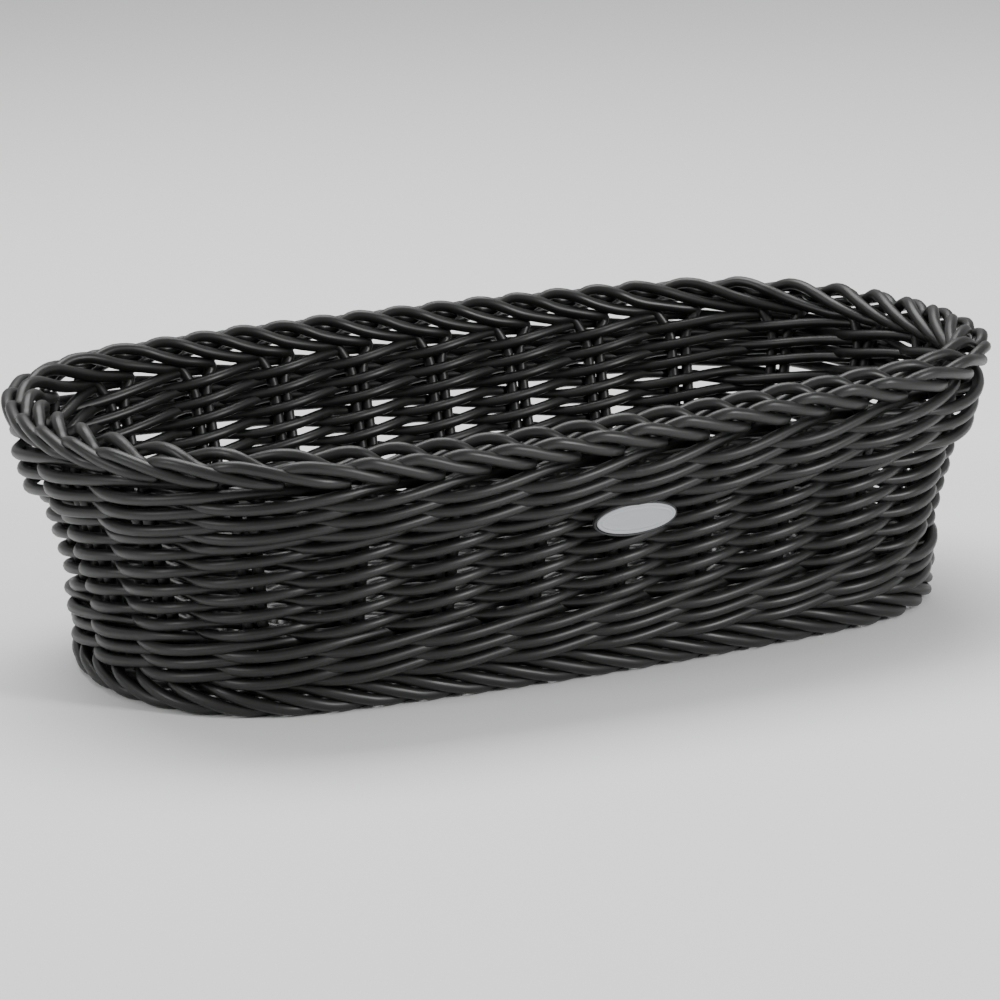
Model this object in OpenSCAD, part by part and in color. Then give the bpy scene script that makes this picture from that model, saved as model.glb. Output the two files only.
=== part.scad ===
// Long oval bread basket, woven from round plastic strands.
// +X runs along the basket, -Y is the front with the badge, +Z is up.
// The origin is at the middle of the foot, on the surface that the basket stands on.
// Each woven row has one strand ring outside the stakes and one inside them.

/* [Overall] */
// Length over the rim
length = 360; // [350:5:370]
// Width over the rim
width = 210; // [204:2:220]
// Height over the rim
height = 100; // [98:1:104]
// How much further out the wall stands at the rim than at the foot, on each side
flare = 27; // [24:1:29]

/* [Oval] */
// Corner radius of the foot
corner_r = 56; // [52:1:58]
// Half of the angle that the arc of a long side turns through
side_angle = 7; // [6:0.5:8]
// Half of the angle that the arc of an end turns through
end_angle = 19; // [16:1:21]

/* [Strands] */
// Diameter of every strand
strand_d = 4; // [3.8:0.1:4.1]
// Number of stake pairs round the wall
stake_pairs = 25; // [23:1:27]
// Free space between the two stakes of a pair
pair_gap = 0.4; // [0.2:0.1:1]
// Free space between a stake and the rings on either side of it
ring_clearance = 0.7; // [0.6:0.05:0.8]

/* [Rows] */
// Height of the middle of the lowest waling row
lower_wale_z = 13.4; // [13.2:0.1:13.8]
// Spacing of the lower waling rows
lower_wale_pitch = 5.2; // [5:0.1:5.3]
// Number of lower waling rows
lower_wale_rows = 3; // [3:1:3]
// Height of the middle of the lowest pairing row
pairing_z = 30; // [29.8:0.1:30.2]
// Spacing of the pairing rows
pairing_pitch = 6.5; // [6.4:0.1:6.5]
// Number of pairing rows
pairing_rows = 6; // [6:1:6]
// Height of the middle of the lowest upper waling row
upper_wale_z = 69; // [68.8:0.1:69.2]
// Spacing of the upper waling rows
upper_wale_pitch = 6.6; // [6.4:0.1:6.6]
// Number of upper waling rows
upper_wale_rows = 3; // [3:1:3]
// How far the upper and lower waling rows stand out beyond the pairing rows
wale_out = 1.6; // [1.2:0.1:2]
// Distance from the wall's slope to the middle of the stakes
stake_in = 6.7; // [6.5:0.1:6.9]

/* [Borders] */
// Height of the rim border
rim_h = 13.4; // [13:0.1:13.5]
// Height of the foot border
foot_h = 10.6; // [10.4:0.1:10.8]
// Thickness of a border's wall where it is one strand thick
border_wall = 3.8; // [3.6:0.1:4]
// Thickness of the borders' closed side
border_floor = 2.4; // [2:0.1:2.6]

/* [Base] */
// Height of the base sticks above the surface
base_z = 8.5; // [8.3:0.1:8.8]
// Half-width of the outermost woven row of the base
base_row_b = 62.4; // [62:0.1:62.8]
// Spacing of the woven rows of the base
base_pitch = 6; // [5.8:0.1:6]
// Number of woven rows in the base
base_rows = 10; // [10:1:10]
// Number of sticks that cross the base from front to back
cross_sticks = 5; // [3:2:5]
// Spacing of the cross sticks
cross_pitch = 32; // [30:1:33]
// Number of sticks that fan out at each end of the base
fan_sticks = 5; // [3:2:5]
// Angle between two neighbouring sticks of a fan
fan_step = 30; // [28:1:32]
// Number of sticks along the middle of the base
long_sticks = 3; // [3:1:3]

/* [Badge] */
// Length of the badge's face
badge_l = 30; // [26:1:32]
// Height of the badge's face
badge_h = 11; // [9:0.5:11]
// Thickness of the badge's face
badge_t = 1; // [0.8:0.1:1.2]
// Width of the backing's border round the face
badge_border = 0.9; // [0.6:0.1:1]
// Distance between the badge's two pins
badge_pin_gap = 18; // [16:1:18]
// Diameter of each pin
badge_pin_d = 1.6; // [1.4:0.1:1.8]

/* [Hidden] */
SECTION_FN = 24;
POINT_STEP = 9;
half_l = length/2 - flare;
half_w = width/2 - flare;
slope = flare/height;
tilt = atan(slope);
ring_gap = strand_d + ring_clearance;
rod_half = (strand_d + pair_gap)/2;
rim_z = height - rim_h;
slot_w = strand_d/cos(tilt) + slope*(rim_h - 2*border_floor) + 0.5;
focus_x = half_l - half_w;
fan_start_r = 8.3;
badge_z = pairing_z + (pairing_rows - 1.5)*pairing_pitch;
badge_back_t = 1.2;
badge_seat = ring_gap + strand_d/2 + 0.6;
badge_washer_h = 8;
badge_washer_gap = 1;
fit_gap = 0.1;
stick_gap = 0.3;
stick_reach = half_w - stake_in - slot_w/2 - border_wall + 0.6;

function row_names(name, count) = [for (i = [1:count]) str(name, i)];
function two_digits(i) = str(i < 10 ? "0" : "", i);
function stake_name(i) = str("stake_pair_", two_digits(i));

// ---- The oval: arcs that meet without a corner, counterclockwise from the middle of the front.
// Its half-length is a, its half-width b, its corner radius r, and half of a side's angle side.
// Each arc is [centre, radius, first angle, last angle].

function cross_2x2(a, b, c, d) = a*d - b*c;

function oval(a, b, r, side) =
    let (
        s1 = sin(side), c1 = 1 - cos(side),
        s2 = sin(end_angle), c2 = 1 - cos(end_angle),
        det = cross_2x2(s1, c2, c1, s2),
        u = cross_2x2(a - r, c2, b - r, s2)/det,
        v = cross_2x2(s1, a - r, c1, b - r)/det,
        side_y = b - r - u,
        end_x = a - r - v,
        corner = [u*s1, side_y + u*cos(side)],
        side_r = r + u,
        end_r = r + v
    )
    [
        [[0, -side_y], side_r, 270, 270 + side],
        [[corner[0], -corner[1]], r, 270 + side, 360 - end_angle],
        [[end_x, 0], end_r, 360 - end_angle, 360 + end_angle],
        [corner, r, 360 + end_angle, 450 - side],
        [[0, side_y], side_r, 450 - side, 450 + side],
        [[-corner[0], corner[1]], r, 450 + side, 540 - end_angle],
        [[-end_x, 0], end_r, 540 - end_angle, 540 + end_angle],
        [-corner, r, 540 + end_angle, 630 - side],
        [[0, -side_y], side_r, 630 - side, 630]
    ];

FOOT = oval(half_l, half_w, corner_r, side_angle);

function arc_length(arc) = arc[1]*(arc[3] - arc[2])*PI/180;
function length_before(arcs, i) = i == 0 ? 0 : length_before(arcs, i - 1) + arc_length(arcs[i - 1]);
function arc_index(arcs, s, i = 0) =
    i == len(arcs) - 1 || s < length_before(arcs, i + 1) ? i : arc_index(arcs, s, i + 1);
function normal_angle(arcs, s) =
    let (i = arc_index(arcs, s))
    arcs[i][2] + (s - length_before(arcs, i))/arcs[i][1]*180/PI;
function oval_point(arcs, s, out) =
    let (arc = arcs[arc_index(arcs, s)], n = normal_angle(arcs, s))
    arc[0] + (arc[1] + out)*[cos(n), sin(n)];

FOOT_LENGTH = length_before(FOOT, len(FOOT));

// How far outside the foot's oval the middle of the stakes is, at height z.
function stake_out(z) = slope*z - stake_in;

// ---- Shared shapes

function arc_steps(arc) = max(2, round(arc_length(arc)/POINT_STEP));

// The oval's points, moved outward by out.
function oval_points(arcs, out) = [
    for (arc = arcs, k = [0:arc_steps(arc) - 1])
        let (n = arc[2] + (arc[3] - arc[2])*k/arc_steps(arc))
        arc[0] + (arc[1] + out)*[cos(n), sin(n)]
];

// A flat band round the oval, from inner to outer and from z0 to z1.
module band(arcs, inner, outer, z0, z1) {
    translate([0, 0, z0])
        linear_extrude(z1 - z0)
            difference() {
                polygon(oval_points(arcs, outer));
                polygon(oval_points(arcs, inner));
            }
}

module strand_ring(arcs, out, z) {
    band(arcs, out - strand_d/2, out + strand_d/2, z - strand_d/2, z + strand_d/2);
}

module rod(p, q) {
    d = q - p;
    translate(p)
        rotate([0, acos(d[2]/norm(d)), atan2(d[1], d[0])])
            cylinder(d = strand_d, h = norm(d), $fn = SECTION_FN);
}

// ---- Wall rows

module pairing_row(i) {
    z = pairing_z + (i - 1)*pairing_pitch;
    color([0.13, 0.13, 0.13]) {
        strand_ring(FOOT, stake_out(z) + ring_gap, z);
        strand_ring(FOOT, stake_out(z) - ring_gap, z);
    }
}

module wale_row(z) {
    color([0.16, 0.16, 0.16]) {
        strand_ring(FOOT, stake_out(z) + ring_gap + wale_out, z);
        strand_ring(FOOT, stake_out(z) - ring_gap, z);
    }
}

// ---- Borders: channels that hold the ends of the stakes

module rim_border() {
    inner = stake_out(height - rim_h/2) - slot_w/2;
    cap_z = height - border_floor;
    chamfer = border_wall/2;
    color([0.18, 0.18, 0.17]) {
        difference() {
            band(FOOT, inner - border_wall, flare, rim_z, cap_z);
            band(FOOT, inner, inner + slot_w, rim_z - 1, cap_z - border_floor);
        }
        band(FOOT, inner - border_wall + chamfer, flare - chamfer, cap_z, height);
    }
}

module foot_border() {
    inner = stake_out(foot_h/2) - slot_w/2;
    color([0.18, 0.18, 0.17])
        difference() {
            band(FOOT, inner - border_wall, inner + slot_w + border_wall, 0, foot_h);
            band(FOOT, inner, inner + slot_w, border_floor, foot_h + 1);
        }
}

// ---- Stakes

module stake_pair(i) {
    s = (i - 1)*FOOT_LENGTH/stake_pairs;
    n = normal_angle(FOOT, s);
    along = [-sin(n), cos(n), 0]*rod_half;
    z0 = border_floor + 1;
    z1 = height - 2*border_floor - 1;
    low = oval_point(FOOT, s, stake_out(z0));
    high = oval_point(FOOT, s, stake_out(z1));
    color([0.1, 0.1, 0.1])
        for (side = [-1, 1])
            rod([low[0], low[1], z0] + side*along, [high[0], high[1], z1] + side*along);
}

// ---- Base

module base_long_sticks() {
    reach = focus_x - fan_start_r;
    middle = (long_sticks + 1)/2;
    color([0.1, 0.1, 0.1])
        for (i = [1:long_sticks]) {
            y = (i - middle)*(strand_d + stick_gap);
            z = base_z + (i == middle ? ring_gap : -ring_gap);
            rod([-reach, y, z], [reach, y, z]);
        }
}

module base_cross_sticks() {
    reach = stick_reach;
    middle = (cross_sticks + 1)/2;
    color([0.1, 0.1, 0.1])
        for (i = [1:cross_sticks]) {
            x = (i - middle)*cross_pitch;
            rod([x, -reach, base_z], [x, reach, base_z]);
        }
}

module base_end_sticks() {
    reach = stick_reach;
    middle = (fan_sticks + 1)/2;
    color([0.1, 0.1, 0.1])
        for (end = [0, 180], i = [1:fan_sticks]) {
            a = (i - middle)*fan_step;
            rotate(end)
                translate([focus_x, 0, base_z])
                    rod(fan_start_r*[cos(a), sin(a), 0], reach*[cos(a), sin(a), 0]);
        }
}

module base_weave_row(i) {
    b = base_row_b - (base_rows - i)*base_pitch;
    size = b/half_w;
    row = oval(b + focus_x, b, size*corner_r, size*side_angle);
    color([0.15, 0.15, 0.15]) {
        strand_ring(row, 0, base_z + ring_gap);
        strand_ring(row, 0, base_z - ring_gap);
    }
}

// ---- Badge: a blank oval plate on the front, with its backing outside and its retainer inside

// Places children on the front of the wall: x along it, y up it, z out of it.
module on_front(out) {
    translate([0, -half_w - stake_out(badge_z) - out, badge_z])
        rotate([90 + tilt, 0, 0])
            children();
}

module oval_disc(l, h, t) {
    steps = 48;
    linear_extrude(t)
        polygon([for (k = [0:steps - 1]) [l/2*cos(k*360/steps), h/2*sin(k*360/steps)]]);
}

module badge_face() {
    color([0.62, 0.64, 0.66])
        on_front(badge_seat + badge_back_t)
            oval_disc(badge_l, badge_h, badge_t);
}

module badge_backing() {
    color([0.08, 0.08, 0.08])
        on_front(badge_seat)
            difference() {
                oval_disc(badge_l + 2*badge_border, badge_h + 2*badge_border, badge_back_t + badge_t/2);
                translate([0, 0, badge_back_t])
                    oval_disc(badge_l + fit_gap, badge_h + fit_gap, badge_t);
            }
}

// A washer inside the wall, with two pins that reach through it to the backing.
module badge_retainer() {
    wall_y = -half_w - stake_out(badge_z);
    inside_y = wall_y + ring_gap + strand_d/2 + badge_washer_gap;
    pin_start_y = inside_y + badge_t/2;
    pin_l = pin_start_y - wall_y + badge_seat - slope*badge_pin_d/2;
    color([0.08, 0.08, 0.08]) {
        translate([0, inside_y, badge_z])
            rotate([-90, 0, 0])
                oval_disc(badge_pin_gap + badge_washer_h, badge_washer_h, badge_t);
        for (side = [-1, 1])
            translate([side*badge_pin_gap/2, pin_start_y, badge_z])
                rotate([90, 0, 0])
                    cylinder(d = badge_pin_d, h = pin_l, $fn = SECTION_FN);
    }
}

rim_border();
for (i = [1:upper_wale_rows])
    wale_row(upper_wale_z + (i - 1)*upper_wale_pitch);
for (i = [1:pairing_rows])
    pairing_row(i);
for (i = [1:lower_wale_rows])
    wale_row(lower_wale_z + (i - 1)*lower_wale_pitch);
foot_border();
for (i = [1:stake_pairs])
    stake_pair(i);
base_long_sticks();
base_cross_sticks();
base_end_sticks();
for (i = [1:base_rows])
    base_weave_row(i);
badge_face();
badge_backing();
badge_retainer();
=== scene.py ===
"""The looks of the woven bread basket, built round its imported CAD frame.

Lengths are in millimetres until a mesh is made. +X runs along the basket and -Y is its front.
A place on the wall is (turn, out, z): turn counts stake spacings counterclockwise round the foot's
oval from the middle of the front, out is the distance outside that oval, and z is the height.
"""

import math
from functools import partial
from typing import NamedTuple

import bpy
import numpy as np
from mathutils import Matrix, Vector

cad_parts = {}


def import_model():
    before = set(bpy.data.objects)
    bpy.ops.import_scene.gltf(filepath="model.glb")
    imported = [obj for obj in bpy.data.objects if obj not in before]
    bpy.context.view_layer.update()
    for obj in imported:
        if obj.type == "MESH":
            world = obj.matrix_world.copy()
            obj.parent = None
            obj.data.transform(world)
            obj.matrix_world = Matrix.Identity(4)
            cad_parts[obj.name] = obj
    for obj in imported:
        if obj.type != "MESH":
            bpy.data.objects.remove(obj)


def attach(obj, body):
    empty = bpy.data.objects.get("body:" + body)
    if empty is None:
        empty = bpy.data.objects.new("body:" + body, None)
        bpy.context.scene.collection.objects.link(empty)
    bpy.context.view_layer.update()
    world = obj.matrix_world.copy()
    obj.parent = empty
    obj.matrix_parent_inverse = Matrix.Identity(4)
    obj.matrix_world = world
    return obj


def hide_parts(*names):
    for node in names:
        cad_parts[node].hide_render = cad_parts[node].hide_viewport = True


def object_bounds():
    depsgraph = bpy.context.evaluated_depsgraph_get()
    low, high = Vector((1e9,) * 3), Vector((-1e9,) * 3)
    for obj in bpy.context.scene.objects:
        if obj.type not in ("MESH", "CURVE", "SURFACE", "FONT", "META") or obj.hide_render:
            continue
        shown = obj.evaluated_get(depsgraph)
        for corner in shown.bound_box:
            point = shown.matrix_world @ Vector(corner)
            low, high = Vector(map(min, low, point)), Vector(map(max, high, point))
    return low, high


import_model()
cad_low, cad_high = [np.array(corner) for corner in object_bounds()]
MM = 0.001
FULL_TURN = 2 * math.pi
SEED = 7

# ---- Driving sizes: the overall ones come from the frame

LENGTH, WIDTH, HEIGHT = (cad_high - cad_low) / MM
# How much wider each side is at the rim than at the foot
FLARE = 27
# The foot's oval: its corner radius, and half the angles of its side and end arcs
CORNER_R = 56
SIDE_ANGLE = math.radians(7)
END_ANGLE = math.radians(19)
STRAND_D = 4.25
STAKE_PAIRS = 25
# Gap between the two stakes of a pair, and how far inside the foot's oval the stakes are at the floor
PAIR_GAP = 0.3
STAKE_IN = 6.7

STRAND_R = STRAND_D / 2
HALF_L = LENGTH / 2 - FLARE
HALF_W = WIDTH / 2 - FLARE
SLOPE = FLARE / HEIGHT
TILT = math.atan(SLOPE)
FOCUS_X = HALF_L - HALF_W

# How much the rim sags, where that is and how many stake spacings it reaches to either side
SAG = 5.2
SAG_TURN = -1.8
SAG_REACH = 3.6
# The heights between which the sag grows from none to all of it
SAG_FROM = 55
SAG_TO = 90
# How much further the foot border stands out at the ends than at the sides, and where that fades out
FOOT_PROUD = 4.2
PROUD_TO_Z = (6, 18)
PROUD_FROM_OUT = (-6, 0)

# The sides of a strand's section, and the distance between its sections
TUBE_SIDES = 12
TUBE_STEP = 2.2
# A strand's rounded end is half a ball, drawn as rings at these angles from its widest circle
TIP_ANGLES = np.radians([80, 52, 25])


# ---- The oval


class Oval:
    """Arcs that meet without a corner, counterclockwise from the middle of the front."""

    def __init__(self, half_l, half_w, corner_r, side_angle):
        # The side and end arcs have radii corner_r + side_more and corner_r + end_more, which are the
        # ones that make the arcs meet and give the oval its length and width
        along = [math.sin(side_angle), 1 - math.cos(END_ANGLE)]
        across = [1 - math.cos(side_angle), math.sin(END_ANGLE)]
        side_more, end_more = np.linalg.solve([along, across], [half_l - corner_r, half_w - corner_r])
        side_y = half_w - corner_r - side_more
        end_x = half_l - corner_r - end_more
        x = side_more * math.sin(side_angle)
        y = side_y + side_more * math.cos(side_angle)
        side_r = corner_r + side_more
        end_r = corner_r + end_more
        front = 0.75 * FULL_TURN
        right = FULL_TURN
        back = 1.25 * FULL_TURN
        left = 1.5 * FULL_TURN
        front_again = 1.75 * FULL_TURN
        # Each arc is its centre, its radius, and the directions that it starts and ends at
        arcs = [
            ((0, -side_y), side_r, front, front + side_angle),
            ((x, -y), corner_r, front + side_angle, right - END_ANGLE),
            ((end_x, 0), end_r, right - END_ANGLE, right + END_ANGLE),
            ((x, y), corner_r, right + END_ANGLE, back - side_angle),
            ((0, side_y), side_r, back - side_angle, back + side_angle),
            ((-x, y), corner_r, back + side_angle, left - END_ANGLE),
            ((-end_x, 0), end_r, left - END_ANGLE, left + END_ANGLE),
            ((-x, -y), corner_r, left + END_ANGLE, front_again - side_angle),
            ((0, -side_y), side_r, front_again - side_angle, front_again),
        ]
        self.centres = np.array([centre for centre, _, _, _ in arcs])
        self.radii = np.array([radius for _, radius, _, _ in arcs])
        self.first = np.array([first for _, _, first, _ in arcs])
        lengths = self.radii * np.array([last - first for _, _, first, last in arcs])
        self.starts = np.concatenate([[0], np.cumsum(lengths)[:-1]])
        self.length = lengths.sum()

    def at(self, distance):
        """Points and outward normals at distances along the oval."""
        distance = np.mod(distance, self.length)
        i = np.searchsorted(self.starts, distance, side="right") - 1
        angle = self.first[i] + (distance - self.starts[i]) / self.radii[i]
        normals = np.stack([np.cos(angle), np.sin(angle)], axis=-1)
        return self.centres[i] + self.radii[i][:, None] * normals, normals


FOOT = Oval(HALF_L, HALF_W, CORNER_R, SIDE_ANGLE)
STAKE_SPACING = FOOT.length / STAKE_PAIRS


def stake_out(z):
    """How far outside the foot's oval the middle of the stakes is, at height z."""
    return SLOPE * z - STAKE_IN


def ease(value, low, high):
    """0 below low, 1 above high, and smooth in between."""
    t = np.clip((value - low) / (high - low), 0, 1)
    return t * t * (3 - 2 * t)


def on_wall(turn, out, z):
    """Points and outward normals, in space, for places on the wall. The rim sags a little at the
    front, left of the badge, and the foot stands out a little more at the two ends."""
    flat, normals = FOOT.at(turn * STAKE_SPACING)
    from_sag = np.mod(turn - SAG_TURN + STAKE_PAIRS / 2, STAKE_PAIRS) - STAKE_PAIRS / 2
    z = z - SAG * np.exp(-((from_sag / SAG_REACH) ** 2)) * ease(z, SAG_FROM, SAG_TO)
    endward = normals[:, 0] ** 2
    out = out + FOOT_PROUD * endward * (1 - ease(z, *PROUD_TO_Z)) * ease(out, *PROUD_FROM_OUT)
    points = np.column_stack([flat + out[:, None] * normals, z])
    return points, np.column_stack([normals, np.zeros(len(normals))])


# ---- Curves and tubes

# A slow unevenness is a sum of waves, so many in the length that it closes after. Each has a random
# height from WANDER_WEAKEST to 1, and the sum goes to about WANDER_SUM.
WANDER_WAVES = (2, 3, 5, 8, 13, 21)
WANDER_WEAKEST = 0.3
WANDER_SUM = 2


def smooth_curve(keys, step):
    """A smooth curve through keys, whose first column is the parameter. Returns the other columns."""
    t, p = keys[:, 0], keys[:, 1:]
    pace = (p[1:] - p[:-1]) / (t[1:] - t[:-1])[:, None]
    before = (t[1:-1] - t[:-2])[:, None]
    after = (t[2:] - t[1:-1])[:, None]
    inner = (pace[1:] * before + pace[:-1] * after) / (before + after)
    tangents = np.vstack([pace[:1], inner, pace[-1:]])
    x = np.linspace(t[0], t[-1], max(2, int((t[-1] - t[0]) / step)))
    i = np.clip(np.searchsorted(t, x, side="right") - 1, 0, len(t) - 2)
    gap = (t[i + 1] - t[i])[:, None]
    w = (x - t[i])[:, None] / gap
    start = (1 + 2 * w) * (1 - w) ** 2 * p[i] + w * (1 - w) ** 2 * gap * tangents[i]
    end = w**2 * (3 - 2 * w) * p[i + 1] + w**2 * (w - 1) * gap * tangents[i + 1]
    return start + end


def wander(rng, turn, rounds, size):
    """A small smooth unevenness that closes after so many rounds of the basket."""
    total = np.zeros_like(turn)
    for waves in WANDER_WAVES:
        phase = rng.uniform(0, FULL_TURN)
        wave = np.sin(FULL_TURN * waves * turn / (rounds * STAKE_PAIRS) + phase)
        total += wave * rng.uniform(WANDER_WEAKEST, 1)
    return size * total / WANDER_SUM


def shaken(rng, size):
    """A random amount of up to size either way."""
    return rng.uniform(-size, size)


def strand_axes(points, sideways, closed):
    """Unit directions along a strand, across it and up from it, at each point."""
    if closed:
        ahead = np.roll(points, -1, axis=0) - np.roll(points, 1, axis=0)
    else:
        ahead = np.gradient(points, axis=0)
    ahead /= np.linalg.norm(ahead, axis=1)[:, None]
    across = sideways - (sideways * ahead).sum(axis=1)[:, None] * ahead
    across /= np.linalg.norm(across, axis=1)[:, None]
    return ahead, across, np.cross(ahead, across)


def repeat_ends(values):
    """Values at a strand's points, with the first and last repeated for the rings of its tips."""
    count = len(TIP_ANGLES)
    return np.concatenate([values[:1].repeat(count, 0), values, values[-1:].repeat(count, 0)])


def tube_faces(rings, closed):
    """The faces of a tube of so many rings, with a flat cap on each end unless closed."""
    last = rings if closed else rings - 1
    i, k = np.meshgrid(np.arange(last), np.arange(TUBE_SIDES), indexing="ij")
    this_ring = i * TUBE_SIDES
    next_ring = (i + 1) % rings * TUBE_SIDES
    next_k = (k + 1) % TUBE_SIDES
    corners = [next_ring + k, next_ring + next_k, this_ring + next_k, this_ring + k]
    faces = np.stack(corners, -1).reshape(-1, 4).tolist()
    if not closed:
        faces.append(list(range(TUBE_SIDES)))
        faces.append([(rings - 1) * TUBE_SIDES + k for k in range(TUBE_SIDES - 1, -1, -1)])
    return faces


def tube(points, sideways, closed=False, radius=STRAND_R, squeeze=0.0):
    """A round strand along points, with rounded ends unless closed, as its points, its faces and its
    grain, which is each point's place on the strand laid straight. sideways are directions across it,
    and it is wider that way by squeeze and flatter the other way."""
    ahead, across, upward = strand_axes(points, sideways, closed)
    run = np.concatenate([[0], np.cumsum(np.linalg.norm(np.diff(points, axis=0), axis=1))])
    size = np.ones(len(points))
    if not closed:
        reach = radius * np.sin(TIP_ANGLES)[:, None]
        points = np.vstack([points[0] - reach * ahead[0], points, points[-1] + reach[::-1] * ahead[-1]])
        across = repeat_ends(across)
        upward = repeat_ends(upward)
        run = repeat_ends(run)
        size = np.concatenate([np.cos(TIP_ANGLES), size, np.cos(TIP_ANGLES[::-1])])
    wide = radius * size * (1 + squeeze)
    tall = radius * size * (1 - squeeze)
    angle = np.arange(TUBE_SIDES) * FULL_TURN / TUBE_SIDES
    ring = wide[:, None, None] * np.cos(angle)[None, :, None] * across[:, None, :]
    ring = ring + tall[:, None, None] * np.sin(angle)[None, :, None] * upward[:, None, :]
    verts = (points[:, None, :] + ring).reshape(-1, 3)
    grain = np.empty((len(points), TUBE_SIDES, 3))
    grain[..., 0] = radius * np.cos(angle)
    grain[..., 1] = radius * np.sin(angle)
    grain[..., 2] = run[:, None]
    return verts, tube_faces(len(points), closed), grain.reshape(-1, 3)


def place(name, mesh, material, node):
    """Puts a mesh in the scene as a piece that rides on the basket and stands for a CAD node."""
    mesh.polygons.foreach_set("use_smooth", [True] * len(mesh.polygons))
    mesh.update()
    piece = bpy.data.objects.new(name, mesh)
    bpy.context.scene.collection.objects.link(piece)
    mesh.materials.append(MATERIALS[material])
    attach(piece, "root")
    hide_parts(node)


# Each strand starts at a random place in this length of the strand material's streaks
GRAIN_LENGTH = 5000


def strand_piece(name, tubes, node, rng):
    """One mesh piece from several tubes. It stands for that CAD node."""
    verts, faces, grain, tone = [], [], [], []
    first = 0
    for own_verts, own_faces, own_grain in tubes:
        verts.append(own_verts)
        faces += [[k + first for k in face] for face in own_faces]
        grain.append(own_grain + [0, 0, rng.uniform(0, GRAIN_LENGTH)])
        tone.append(np.full(len(own_verts), rng.uniform(0, 1)))
        first += len(own_verts)
    mesh = bpy.data.meshes.new(name)
    mesh.from_pydata((np.vstack(verts) * MM).tolist(), [], faces)
    along = mesh.attributes.new("grain", "FLOAT_VECTOR", "POINT")
    along.data.foreach_set("vector", (np.vstack(grain) * MM).ravel())
    shade = mesh.attributes.new("tone", "FLOAT", "POINT")
    shade.data.foreach_set("value", np.concatenate(tone))
    place(name, mesh, "strand", node)


# ---- Materials

STRAND_DARK = (0.005, 0.0056, 0.0048, 1)
STRAND_LIGHT = (0.0118, 0.0132, 0.0112, 1)
STRAND_ROUGH = (0.36, 0.48)
STRAND_BUMP = (0.35, 0.12 * MM)
# How much of a strand's tone comes from its streaks, and how much is its own
STREAK_TONE = 0.65
OWN_TONE = 0.35
# Streaks as waves a metre round the strand and along it, and their detail
FINE_STREAKS = (2400, 45, 3)
BROAD_STREAKS = (420, 30, 2)
# Noise seldom leaves this range
NOISE_LOW = 0.3
NOISE_HIGH = 0.7

PLATE_DARK = (0.34, 0.36, 0.38, 1)
PLATE_LIGHT = (0.46, 0.48, 0.5, 1)
BACKING_DARK = (0.02, 0.02, 0.021, 1)
BACKING_LIGHT = (0.04, 0.04, 0.042, 1)
SPECKLE_ROUGH_SPREAD = 0.08
SPECKLE_BUMP = (0.12, 0.05 * MM)
SPECKLE_DETAIL = 4


def new_material(name):
    material = bpy.data.materials.new(name)
    material.use_nodes = True
    tree = material.node_tree
    return material, tree, tree.nodes["Principled BSDF"]


def link(tree, source, output, target, socket):
    tree.links.new(source.outputs[output], target.inputs[socket])


def colour_between(tree, source, output, dark, light, shader):
    """The shader's colour goes from dark to light as a node's output goes from 0 to 1."""
    mix = tree.nodes.new("ShaderNodeMix")
    mix.data_type = "RGBA"
    mix.inputs["A"].default_value = dark
    mix.inputs["B"].default_value = light
    link(tree, source, output, mix, "Factor")
    link(tree, mix, "Result", shader, "Base Color")


def spread(tree, noise, before, after):
    """A node that stretches noise from the range before to the range after."""
    ranged = tree.nodes.new("ShaderNodeMapRange")
    ranged.inputs["From Min"].default_value = before[0]
    ranged.inputs["From Max"].default_value = before[1]
    ranged.inputs["To Min"].default_value = after[0]
    ranged.inputs["To Max"].default_value = after[1]
    link(tree, noise, "Fac", ranged, "Value")
    return ranged


def bump(tree, noise, strength_and_depth, shader):
    node = tree.nodes.new("ShaderNodeBump")
    strength, depth = strength_and_depth
    node.inputs["Strength"].default_value = strength
    node.inputs["Distance"].default_value = depth
    link(tree, noise, "Fac", node, "Height")
    link(tree, node, "Normal", shader, "Normal")


def streaks(tree, grain, around, along, detail):
    """Noise drawn out along the strand."""
    mapping = tree.nodes.new("ShaderNodeMapping")
    mapping.inputs["Scale"].default_value = (around, around, along)
    noise = tree.nodes.new("ShaderNodeTexNoise")
    noise.inputs["Scale"].default_value = 1
    noise.inputs["Detail"].default_value = detail
    link(tree, grain, "Vector", mapping, "Vector")
    link(tree, mapping, "Vector", noise, "Vector")
    return noise


def attribute(tree, name):
    node = tree.nodes.new("ShaderNodeAttribute")
    node.attribute_name = name
    return node


def strand_material():
    """Charcoal plastic strand: fine lines along it, uneven sheen and a slight change of tone."""
    material, tree, shader = new_material("strand")
    grain = attribute(tree, "grain")
    fine = streaks(tree, grain, *FINE_STREAKS)
    broad = streaks(tree, grain, *BROAD_STREAKS)
    noise_range = (NOISE_LOW, NOISE_HIGH)

    tone = tree.nodes.new("ShaderNodeMath")
    tone.operation = "MULTIPLY_ADD"
    tone.inputs[1].default_value = OWN_TONE
    link(tree, attribute(tree, "tone"), "Fac", tone, 0)
    link(tree, spread(tree, fine, noise_range, (0, STREAK_TONE)), "Result", tone, 2)
    colour_between(tree, tone, "Value", STRAND_DARK, STRAND_LIGHT, shader)

    link(tree, spread(tree, broad, noise_range, STRAND_ROUGH), "Result", shader, "Roughness")
    bump(tree, fine, STRAND_BUMP, shader)
    return material


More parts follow.
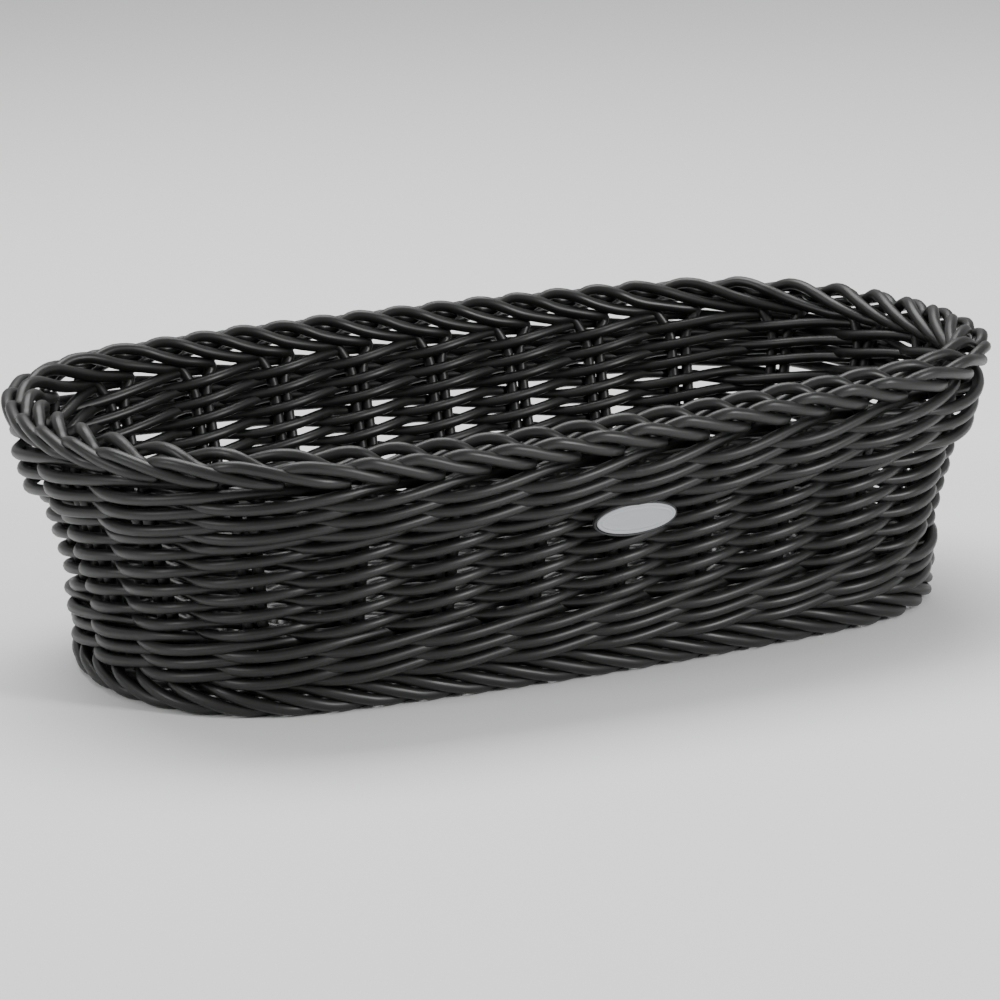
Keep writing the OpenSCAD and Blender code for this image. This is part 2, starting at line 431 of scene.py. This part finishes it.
def plastic_material(name, dark, light, roughness, speckle):
    """Moulded plastic: a fine even speckle in its tone, sheen and surface."""
    material, tree, shader = new_material(name)
    place_in = tree.nodes.new("ShaderNodeTexCoord")
    noise = tree.nodes.new("ShaderNodeTexNoise")
    noise.inputs["Scale"].default_value = speckle
    noise.inputs["Detail"].default_value = SPECKLE_DETAIL
    link(tree, place_in, "Object", noise, "Vector")
    colour_between(tree, noise, "Fac", dark, light, shader)
    rough = (roughness - SPECKLE_ROUGH_SPREAD, roughness + SPECKLE_ROUGH_SPREAD)
    link(tree, spread(tree, noise, (0, 1), rough), "Result", shader, "Roughness")
    bump(tree, noise, SPECKLE_BUMP, shader)
    return material


MATERIALS = {
    "strand": strand_material(),
    "badge_face": plastic_material("badge_face", PLATE_DARK, PLATE_LIGHT, roughness=0.38, speckle=3500),
    "badge_backing": plastic_material(
        "badge_backing", BACKING_DARK, BACKING_LIGHT, roughness=0.5, speckle=2500
    ),
}


# ---- Wall rows: each row is one strand, which goes round as often as the row has strands


class Band(NamedTuple):
    """A band of woven rows: the height of the middle of its lowest row, their spacing and number."""

    first: float
    pitch: float
    count: int


PAIRING_BAND = Band(first=30, pitch=6.5, count=6)
LOWER_BAND = Band(first=14.3, pitch=5.0, count=3)
UPPER_BAND = Band(first=69.5, pitch=6.4, count=3)

# From the middle of a stake to the middle of a strand that passes it
STAKE_GAP = 0.05
STAKE_CLEAR = STRAND_D + STAKE_GAP
PAIRING_STRANDS = 2
# Half the share by which the strands cross more quickly between two stakes than a plain wave would
PAIRING_QUICKER = 0.1
PAIRING_RISE = 1.9
PAIRING_SQUEEZE = 0.1

WALE_STRANDS = 3
WALE_SQUEEZE = 0.04
# How far out a waling strand bulges between its two stakes, how much it rises, and half of how much
# nearer it is to the second stake than to the first
LOWER_WEAVE = {"bulge": 6.8, "rise": 2.1, "nearer": 1.4}
UPPER_WEAVE = {"bulge": 7.8, "rise": 2.9, "nearer": 1.9}

ROW_WANDER_UP = 0.28
ROW_WANDER_OUT = 0.16


def pairing_offsets(turn):
    """Out from the stakes and up from the row, for a strand that is outside every second stake, and
    how much it is squeezed."""
    phase = math.pi * turn
    phase = phase - PAIRING_QUICKER * np.sin(2 * phase)
    squeeze = PAIRING_SQUEEZE * np.sin(phase) ** 2
    return STAKE_CLEAR * np.cos(phase), PAIRING_RISE * np.sin(phase), squeeze


def wale_offsets(turn, bulge, rise, nearer):
    """The same for a strand that passes outside two stakes and inside the third."""
    half_gap = math.pi / WALE_STRANDS
    phase = 2 * half_gap * turn - half_gap
    near = STAKE_CLEAR + nearer
    mean = (2 * near - STAKE_CLEAR) / WALE_STRANDS
    twice = (bulge - mean) / 2 - (near + STAKE_CLEAR) / WALE_STRANDS
    once = bulge - mean - twice
    out = mean + once * np.cos(phase) + twice * np.cos(2 * phase)
    out = out - nearer / math.sin(half_gap) * np.sin(phase)
    return out, rise * np.sin(phase), WALE_SQUEEZE


def wall_row(name, node, z, strands, offsets, rng):
    turns = strands * STAKE_PAIRS
    step = TUBE_STEP / STAKE_SPACING
    turn = np.arange(0, turns, step)
    turn = turn * turns / (turn[-1] + step)
    out, up, squeeze = offsets(turn)
    height = z + up + wander(rng, turn, strands, ROW_WANDER_UP)
    out = stake_out(z) + out + wander(rng, turn, strands, ROW_WANDER_OUT)
    points, sideways = on_wall(turn, out, height)
    strand_piece(name, [tube(points, sideways, closed=True, squeeze=squeeze)], node, rng)


def band_of_rows(kind, band, strands, offsets, rng):
    for i in range(band.count):
        z = band.first + i * band.pitch
        wall_row(f"{kind}_weavers_{i + 1}", f"{kind}_row_{i + 1}", z, strands, offsets, rng)


def wall_rows():
    rng = np.random.default_rng(SEED)
    band_of_rows("pairing", PAIRING_BAND, PAIRING_STRANDS, pairing_offsets, rng)
    lower_offsets = partial(wale_offsets, **LOWER_WEAVE)
    band_of_rows("lower_wale", LOWER_BAND, WALE_STRANDS, lower_offsets, rng)
    upper_offsets = partial(wale_offsets, **UPPER_WEAVE)
    band_of_rows("upper_wale", UPPER_BAND, WALE_STRANDS, upper_offsets, rng)


# ---- Stakes, and the borders that are plaited from their ends

STAKES_IN_PAIR = 2
STAKE_FOOT = 9.9
STAKE_TOP = 86.9
STAKE_HEIGHTS = (STAKE_FOOT, 14, 20, 30, 45, 60, 72, 78, 82, 84.5, STAKE_TOP)

# The rim border's strand, as stakes past its own stake, out from the oval, and height. It climbs along
# the inside, goes over the top, dips, comes up again further out and ends tucked in below.
RIM_ROUTE = [
    (0.0, 16.3, STAKE_TOP),
    (0.4, 14.8, 88.4),
    (0.9, 13.8, 90.3),
    (1.4, 13.8, 92.9),
    (1.8, 14.6, 95.7),
    (2.1, 16.4, 97.4),
    (2.4, 18.6, 97.5),
    (2.65, 20.0, 95.6),
    (2.85, 20.9, 93.4),
    (3.05, 22.0, 92.6),
    (3.25, 23.9, 94.2),
    (3.5, 25.1, 95.1),
    (3.85, 25.4, 94.0),
    (4.35, 24.9, 91.4),
    (4.8, 23.4, 89.3),
    (5.1, 20.4, 88.2),
]
# The foot border's strand in the same way, from the stake down, round the bottom and up inside
FOOT_ROUTE = [
    (0.0, -4.2, STAKE_FOOT),
    (0.4, -2.0, 9.4),
    (0.8, 0.2, 8.2),
    (1.2, 1.2, 6.5),
    (1.6, 1.4, 4.7),
    (2.0, 0.9, 3.0),
    (2.4, -0.8, 2.2),
    (2.9, -4.2, 2.2),
    (3.4, -7.8, 2.6),
    (3.9, -10.0, 4.4),
    (4.3, -10.3, 6.4),
]

# The two stakes of a pair part over these heights, below and above the wall's rows
SPLAY_BELOW = (6, 14)
SPLAY_ABOVE = (77, 93)
PAIR_HALF = (STRAND_D + PAIR_GAP) / 2
EVEN_HALF = STAKE_SPACING / STAKES_IN_PAIR / 2

# Stakes and borders have closer sections than the rows
BORDER_STEP = 0.8 * TUBE_STEP
# The most that a stake bows to one side, and that each place on a border is moved at random
LEAN = 0.25
TURN_SHAKE = 0.004
OUT_SHAKE = 0.15
RIM_SHAKE_UP = 0.12


def splay(z):
    """How far a stake is from the middle of its pair, at height z."""
    apart = ease(z, *SPLAY_ABOVE) + 1 - ease(z, *SPLAY_BELOW)
    return PAIR_HALF + (EVEN_HALF - PAIR_HALF) * apart


def foot_places(own, rng):
    """Places on the foot border's strand, from its end up to the stake at turn own."""
    return [
        (own + past / STAKES_IN_PAIR + shaken(rng, TURN_SHAKE), out + shaken(rng, OUT_SHAKE), z)
        for past, out, z in FOOT_ROUTE[:0:-1]
    ]


def stake_places(pair, side, rng):
    lean = shaken(rng, LEAN)
    places = []
    for z in STAKE_HEIGHTS:
        offset = side * splay(z) + lean * math.sin(math.pi * z / HEIGHT)
        places.append((pair + offset / STAKE_SPACING, stake_out(z), z))
    return places


def rim_places(own, rng):
    """Places on the rim border's strand, from the stake at turn own to its end."""
    return [
        (
            own + past / STAKES_IN_PAIR + shaken(rng, TURN_SHAKE),
            out + shaken(rng, OUT_SHAKE),
            z + shaken(rng, RIM_SHAKE_UP),
        )
        for past, out, z in RIM_ROUTE[1:]
    ]


def strand_tubes(pair, side, rng):
    """One strand as three tubes: its part in the foot border, the stake and its part in the rim."""
    own = pair + side / STAKES_IN_PAIR / 2
    places = np.array(foot_places(own, rng) + stake_places(pair, side, rng) + rim_places(own, rng))
    foot_end = len(FOOT_ROUTE) - 1
    rim_start = foot_end + len(STAKE_HEIGHTS) - 1
    steps = np.diff(places, axis=0) * [STAKE_SPACING, 1, 1]
    distance = np.concatenate([[0], np.cumsum(np.linalg.norm(steps, axis=1))])
    turn, out, z = smooth_curve(np.column_stack([distance, places]), BORDER_STEP).T
    points, sideways = on_wall(turn, out, z)
    run = np.linspace(0, distance[-1], len(points))
    a, b = np.searchsorted(run, distance[[foot_end, rim_start]])
    parts = (slice(0, a + 1), slice(a, b + 1), slice(b, len(points)))
    return [tube(points[part], sideways[part]) for part in parts]


def stakes_and_borders():
    rng = np.random.default_rng(SEED + 1)
    rim, foot = [], []
    for pair in range(STAKE_PAIRS):
        stakes = []
        for side in (-1, 1):
            foot_tube, stake_tube, rim_tube = strand_tubes(pair, side, rng)
            foot.append(foot_tube)
            stakes.append(stake_tube)
            rim.append(rim_tube)
        strand_piece(f"stakes_{pair + 1:02d}", stakes, f"stake_pair_{pair + 1:02d}", rng)
    strand_piece("rim_plait", rim, "rim_border", rng)
    strand_piece("foot_plait", foot, "foot_border", rng)


# ---- Base: straight sticks, fanned at the two ends, with rows woven round them

BASE_Z = 8.5
CROSS_STICKS = 5
CROSS_PITCH = 32
FAN_STICKS = 5
FAN_STEP = math.radians(30)
FAN_START_R = 8.3
STICK_REACH = 65
# How uneven the sticks are, in waves that close after twice their length
STICK_WANDER = 0.12
STICK_LENGTHS = 2
# Straight sticks have fewer sections
STICK_STEP = 2 * TUBE_STEP
LONG_STICKS = 3
LONG_STICK_GAP = 0.2
# How far the long sticks stop before the middles of the fans
LONG_STICK_SHORT = 2

BASE_ROWS = 10
BASE_PITCH = 6
# Half the width of the outermost row
BASE_ROW_B = 62.4
BASE_STRANDS = 2
# How far a strand leans in or out where it crosses the other one of its row
BASE_CROSS_ASIDE = 1.6
# How flat a strand lies over each stick
BASE_FLAT = 0.25
# The distance between the places where a row is tested for sticks, and how far past its end a stick
# still counts
CROSSING_STEP = 0.1
CROSSING_PAST = 1

UP = (0.0, 0.0, 1.0)
ALONG_X = (1.0, 0.0, 0.0)
ALONG_Y = (0.0, 1.0, 0.0)


def all_towards(direction, count):
    return np.tile(direction, (count, 1))


def from_middle(count):
    """Whole numbers on both sides of 0, for an odd count."""
    return range(-(count // 2), count // 2 + 1)


def base_sticks():
    """Straight sticks as (start, end): those across the base and those fanned at its ends."""
    cross = [
        (np.array([i * CROSS_PITCH, -STICK_REACH]), np.array([i * CROSS_PITCH, STICK_REACH]))
        for i in from_middle(CROSS_STICKS)
    ]
    fan = []
    for end in (1, -1):
        hub = np.array([end * FOCUS_X, 0])
        for i in from_middle(FAN_STICKS):
            way = np.array([end * math.cos(i * FAN_STEP), math.sin(i * FAN_STEP)])
            fan.append((hub + FAN_START_R * way, hub + STICK_REACH * way))
    return cross, fan


def stick_tube(start, end, rng):
    count = int(math.dist(start, end) / STICK_STEP)
    t = np.linspace(0, 1, count)
    flat = np.outer(1 - t, start) + np.outer(t, end)
    z = BASE_Z + wander(rng, t * STAKE_PAIRS, STICK_LENGTHS, STICK_WANDER)
    return tube(np.column_stack([flat, z]), all_towards(UP, count))


def long_stick_tube(beside):
    """The lengthwise stick that is so many places beside the middle one. It goes over one cross stick
    and under the next."""
    x = np.arange(-FOCUS_X + LONG_STICK_SHORT, FOCUS_X - LONG_STICK_SHORT, TUBE_STEP)
    over = 1 if beside == 0 else -1
    y = np.full(len(x), beside * (STRAND_D + LONG_STICK_GAP))
    z = BASE_Z + over * STAKE_CLEAR * np.cos(math.pi * x / CROSS_PITCH)
    return tube(np.column_stack([x, y, z]), all_towards(ALONG_Y, len(x)))


def stick_crossings(oval, sticks):
    """The distances along the oval at which it crosses the sticks."""
    distance = np.arange(0, oval.length, CROSSING_STEP)
    flat, _ = oval.at(distance)
    crossings = []
    for start, end in sticks:
        way = end - start
        length = np.linalg.norm(way)
        way = way / length
        offset = flat - start
        along = offset @ way
        beside = offset @ [-way[1], way[0]]
        change = np.where(np.sign(beside) != np.sign(np.roll(beside, -1)))[0]
        crossings += [
            distance[k] for k in change if -CROSSING_PAST < along[k] < length + CROSSING_PAST
        ]
    return np.sort(crossings)


def base_row_tubes(row, sticks):
    """The two closed strands of a row, each above one stick and below the next."""
    half_w = BASE_ROW_B - (BASE_ROWS - row) * BASE_PITCH
    size = half_w / HALF_W
    oval = Oval(half_w + FOCUS_X, half_w, size * CORNER_R, size * SIDE_ANGLE)
    crossings = stick_crossings(oval, sticks)
    count = len(crossings)
    knots = np.concatenate([crossings - oval.length, crossings, crossings + oval.length])
    turns = np.arange(-count, 2 * count)
    length = BASE_STRANDS * oval.length
    s = np.arange(0, length, TUBE_STEP)
    s = s * length / (s[-1] + TUBE_STEP)
    lap = s // oval.length
    phase = math.pi * (np.interp(s % oval.length, knots, turns) + (count + 1) * lap)
    flat, normals = oval.at(s)
    flat = flat + BASE_CROSS_ASIDE * np.sin(phase)[:, None] * normals
    lift = np.cos(phase) * (1 + BASE_FLAT - BASE_FLAT * np.cos(phase) ** 2)
    points = np.column_stack([flat, BASE_Z + STAKE_CLEAR * lift])
    laps = [points[lap == k] for k in range(BASE_STRANDS)]
    return [tube(strand, all_towards(UP, len(strand)), closed=True) for strand in laps]


def base():
    rng = np.random.default_rng(SEED + 2)
    cross, fan = base_sticks()
    cross_tubes = [stick_tube(start, end, rng) for start, end in cross]
    strand_piece("base_crossing_sticks", cross_tubes, "base_cross_sticks", rng)
    fan_tubes = [stick_tube(start, end, rng) for start, end in fan]
    strand_piece("base_fanned_sticks", fan_tubes, "base_end_sticks", rng)
    long_tubes = [long_stick_tube(i) for i in from_middle(LONG_STICKS)]
    strand_piece("base_lengthwise_sticks", long_tubes, "base_long_sticks", rng)
    for row in range(1, BASE_ROWS + 1):
        tubes = base_row_tubes(row, cross + fan)
        strand_piece(f"base_weavers_{row:02d}", tubes, f"base_weave_row_{row}", rng)


# ---- Badge: a blank oval plate in a dark backing, pinned through the wall to a washer inside

BADGE_L = 30
BADGE_H = 11
BADGE_T = 1
# How far the backing stands out round the plate, and how thick it is behind it
BACKING_EDGE = 0.9
BACKING_T = 1.2
# The badge covers the gap between the two top pairing rows, this far out from the stakes' middles
BADGE_Z = PAIRING_BAND.first + (PAIRING_BAND.count - 1.5) * PAIRING_BAND.pitch
BADGE_SEAT = 8.5
PIN_SPACING = 18
PIN_R = 0.8
PIN_RINGS = 12
WASHER_H = 8
WASHER_T = 1
# How far inside the stakes' middles the washer starts
WASHER_IN = 7.7
OVAL_STEPS = 96

# Profiles of oval buttons, from the middle of the back to the middle of the front, as (inset from the
# edge, height). An inset of None is the middle.
PLATE_PROFILE = [
    (None, 0.15),
    (0.3, 0.15),
    (0.05, 0.3),
    (0, 0.7),
    (0.15, 0.95),
    (0.45, BADGE_T),
    (0.75, BADGE_T),
    (0.95, 0.88),
    (1.15, 0.84),
    (1.35, 0.88),
    (1.6, 1.02),
    (1.95, 1.04),
    (2.2, 0.95),
    (2.5, 0.9),
    (3.6, 0.93),
    (None, BADGE_T),
]
BACKING_PROFILE = [
    (None, 0),
    (0.3, 0),
    (0.05, 0.2),
    (0, 0.5),
    (0, BACKING_T),
    (0.12, BACKING_T + 0.35),
    (0.4, BACKING_T + 0.5),
    (BACKING_EDGE - 0.25, BACKING_T + 0.45),
    (BACKING_EDGE - 0.05, BACKING_T + 0.25),
    (BACKING_EDGE, BACKING_T),
    (None, BACKING_T),
]
WASHER_PROFILE = [
    (None, 0),
    (0.3, 0),
    (0.05, 0.15),
    (0, 0.35),
    (0, WASHER_T - 0.3),
    (0.1, WASHER_T - 0.08),
    (0.35, WASHER_T),
    (None, WASHER_T),
]


def oval_button(length, height, profile):
    """A closed oval button with its profile all round."""
    verts, faces, rings = [], [], []
    angle = np.arange(OVAL_STEPS) * FULL_TURN / OVAL_STEPS
    for inset, z in profile:
        if inset is None:
            rings.append([len(verts)])
            verts.append((0, 0, z))
            continue
        half_l = length / 2 - inset
        half_h = height / 2 - inset
        rings.append(list(range(len(verts), len(verts) + OVAL_STEPS)))
        verts += [(half_l * math.cos(a), half_h * math.sin(a), z) for a in angle]
    for low, high in zip(rings, rings[1:]):
        for k in range(OVAL_STEPS):
            k2 = (k + 1) % OVAL_STEPS
            if len(low) == 1:
                faces.append([low[0], high[k2], high[k]])
            elif len(high) == 1:
                faces.append([low[k], low[k2], high[0]])
            else:
                faces.append([low[k], low[k2], high[k2], high[k]])
    return verts, faces


def bent_to_wall(shape):
    """Curves a flat button to the front's gentle arc."""
    verts, faces = shape
    front_r = FOOT.radii[0]
    return [(x, y, z - x * x / (2 * front_r)) for x, y, z in verts], faces


def wall_y(out):
    """The Y of a place on the front wall, at the badge's height."""
    return -HALF_W - stake_out(BADGE_Z) - out


def badge_axes(out):
    """The badge's own axes: x along the wall, y up it and z out of it."""
    origin = Matrix.Translation(Vector((0, wall_y(out), BADGE_Z)))
    return origin @ Matrix.Rotation(math.pi / 2 + TILT, 4, "X")


def badge_piece(name, shape, axes, material, node):
    verts, faces = shape
    mesh = bpy.data.meshes.new(name)
    mesh.from_pydata([tuple((axes @ Vector(v)) * MM) for v in verts], [], faces)
    place(name, mesh, material, node)


def badge_plate():
    plate = bent_to_wall(oval_button(BADGE_L, BADGE_H, PLATE_PROFILE))
    axes = badge_axes(BADGE_SEAT + BACKING_T)
    badge_piece("badge_plate", plate, axes, "badge_face", "badge_face")


def badge_holder():
    length = BADGE_L + 2 * BACKING_EDGE
    height = BADGE_H + 2 * BACKING_EDGE
    backing = bent_to_wall(oval_button(length, height, BACKING_PROFILE))
    badge_piece("badge_holder", backing, badge_axes(BADGE_SEAT), "badge_backing", "badge_backing")


def badge_washer():
    """The washer inside the wall and its two pins, which reach the backing."""
    inside_y = wall_y(-WASHER_IN)
    flat_verts, faces = oval_button(PIN_SPACING + WASHER_H, WASHER_H, WASHER_PROFILE)
    inward = Matrix.Translation(Vector((0, inside_y, BADGE_Z))) @ Matrix.Rotation(-math.pi / 2, 4, "X")
    verts = [tuple(inward @ Vector(v)) for v in flat_verts]
    pin_y = np.linspace(wall_y(BADGE_SEAT) + PIN_R * SLOPE, inside_y + WASHER_T / 2, PIN_RINGS)
    for side in (-1, 1):
        pin_x = np.full(PIN_RINGS, side * PIN_SPACING / 2)
        points = np.column_stack([pin_x, pin_y, np.full(PIN_RINGS, BADGE_Z)])
        pin_verts, pin_faces, _ = tube(points, all_towards(ALONG_X, PIN_RINGS), radius=PIN_R)
        first = len(verts)
        verts += [tuple(p) for p in pin_verts]
        faces += [[k + first for k in face] for face in pin_faces]
    badge_piece("badge_washer", (verts, faces), Matrix.Identity(4), "badge_backing", "badge_retainer")


def badge():
    badge_plate()
    badge_holder()
    badge_washer()


# ---- Stage, lights and camera: these are in metres

FLOOR_HALF = 8.0
FLOOR_COLOUR = (0.92, 0.92, 0.92, 1)
FLOOR_ROUGH = 0.9
WORLD_STRENGTH = 0.5
LIGHT_AIM = Vector((0, 0, 0.05))


class Softbox(NamedTuple):
    """A rectangular light: where it stands, its width and height, and its watts."""

    name: str
    position: tuple
    size: tuple
    power: float


SOFTBOXES = [
    Softbox("softbox_above", (0.1, 0.6, 1.5), (1.4, 0.9), 28),
    Softbox("softbox_right", (0.8, -1.35, 0.75), (0.22, 0.5), 17),
    Softbox("softbox_left", (-1.6, -0.1, 0.9), (0.4, 0.5), 7),
]

CAMERA_AZIMUTH = math.radians(-26.117)
CAMERA_ELEVATION = math.radians(13.737)
CAMERA_ROLL = math.radians(-1.392)
CAMERA_DISTANCE = 1.5229
CAMERA_TARGET = Vector((-0.0011, 0.0042, 0.0444))
CAMERA_LENS = 153.1
CAMERA_SENSOR = 36


def floor():
    h = FLOOR_HALF
    mesh = bpy.data.meshes.new("floor")
    mesh.from_pydata([(-h, -h, 0), (h, -h, 0), (h, h, 0), (-h, h, 0)], [], [(0, 1, 2, 3)])
    material, _, shader = new_material("floor")
    shader.inputs["Base Color"].default_value = FLOOR_COLOUR
    shader.inputs["Roughness"].default_value = FLOOR_ROUGH
    mesh.materials.append(material)
    plane = bpy.data.objects.new("floor", mesh)
    bpy.context.scene.collection.objects.link(plane)


def world():
    studio = bpy.data.worlds.new("studio")
    studio.use_nodes = True
    background = studio.node_tree.nodes["Background"]
    background.inputs["Color"].default_value = (1, 1, 1, 1)
    background.inputs["Strength"].default_value = WORLD_STRENGTH
    bpy.context.scene.world = studio


def softbox(box):
    light = bpy.data.lights.new(box.name, "AREA")
    light.shape = "RECTANGLE"
    light.size, light.size_y = box.size
    light.energy = box.power
    lamp = bpy.data.objects.new(box.name, light)
    lamp.location = box.position
    lamp.rotation_euler = (LIGHT_AIM - Vector(box.position)).to_track_quat("-Z", "Y").to_euler()
    bpy.context.scene.collection.objects.link(lamp)


def camera():
    lens = bpy.data.cameras.new("camera")
    lens.lens = CAMERA_LENS
    lens.sensor_width = CAMERA_SENSOR
    eye = bpy.data.objects.new("camera", lens)
    bpy.context.scene.collection.objects.link(eye)
    level = math.cos(CAMERA_ELEVATION)
    back = Vector(
        (
            math.sin(CAMERA_AZIMUTH) * level,
            -math.cos(CAMERA_AZIMUTH) * level,
            math.sin(CAMERA_ELEVATION),
        )
    )
    right = (-back).cross(Vector(UP)).normalized()
    up = back.cross(right)
    cos_r = math.cos(CAMERA_ROLL)
    sin_r = math.sin(CAMERA_ROLL)
    rolled_right = right * cos_r + up * sin_r
    rolled_up = up * cos_r - right * sin_r
    turn = Matrix((rolled_right, rolled_up, back)).transposed().to_4x4()
    eye.matrix_world = Matrix.Translation(CAMERA_TARGET + CAMERA_DISTANCE * back) @ turn
    bpy.context.scene.camera = eye


# ---- The scene

camera()
floor()
world()
for box in SOFTBOXES:
    softbox(box)
wall_rows()
stakes_and_borders()
base()
badge()
